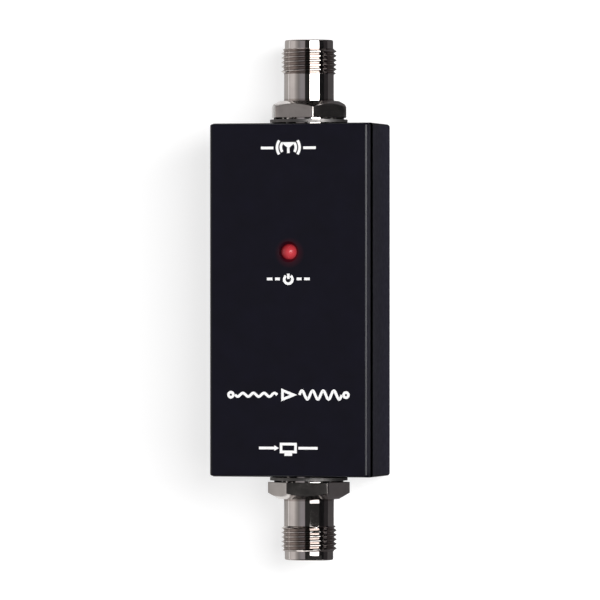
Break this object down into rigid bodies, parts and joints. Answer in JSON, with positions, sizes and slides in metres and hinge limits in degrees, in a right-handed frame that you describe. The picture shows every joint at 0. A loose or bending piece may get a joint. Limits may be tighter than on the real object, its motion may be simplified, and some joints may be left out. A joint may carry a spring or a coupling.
{
  "type": "in-line antenna amplifier",
  "caption": "Black die-cast in-line signal amplifier with a threaded coaxial jack at each end and a red lamp in its front cover.",
  "frame": {"origin": "centre of the back's bounding rectangle, on the plane of the back; half way between the jack mouths", "axes": "+Z out of the front cover with the lamp, +Y towards the antenna jack, +X to the right seen from the front"},
  "size_m": [0.0336, 0.1046, 0.0235],
  "materials": {
    "cover_paint": "satin black paint",
    "case_paint": "satin black paint",
    "nickel": "nickel plated, polished",
    "washer_steel": "plated, dull",
    "insulator": "white fluoropolymer",
    "gold": "gold plated",
    "lamp": "clear red, lit",
    "black_screw": "black oxide",
    "steel": "zinc plated",
    "tinned": "tin plated sheet",
    "board": "solder resist",
    "chip": "moulded epoxy",
    "ceramic": "chip ceramic",
    "ferrite": "ferrite",
    "can": "bare",
    "print": "white screen print",
    "spacer": "moulded"
  },
  "bodies": {
    "root": {"front_cover": "cover_paint", "rear_case": "case_paint", "cover_screws": "black_screw", "circuit_board": "board", "board_screws": "steel", "power_led": "lamp", "led_leads": "tinned", "led_spacer": "spacer", "shield_can": "tinned", "amplifier_chip": "chip", "voltage_regulator": "chip", "coupling_capacitors": "ceramic", "bias_resistors": "ceramic", "bias_chokes": "ferrite", "smoothing_capacitor": "can", "antenna_jack_body": "nickel", "antenna_jack_nut": "nickel", "antenna_jack_washer": "washer_steel", "antenna_jack_insulator": "insulator", "antenna_jack_contact": "gold", "receiver_jack_body": "nickel", "receiver_jack_nut": "nickel", "receiver_jack_washer": "washer_steel", "receiver_jack_insulator": "insulator", "receiver_jack_contact": "gold"}
  },
  "joints": []
}
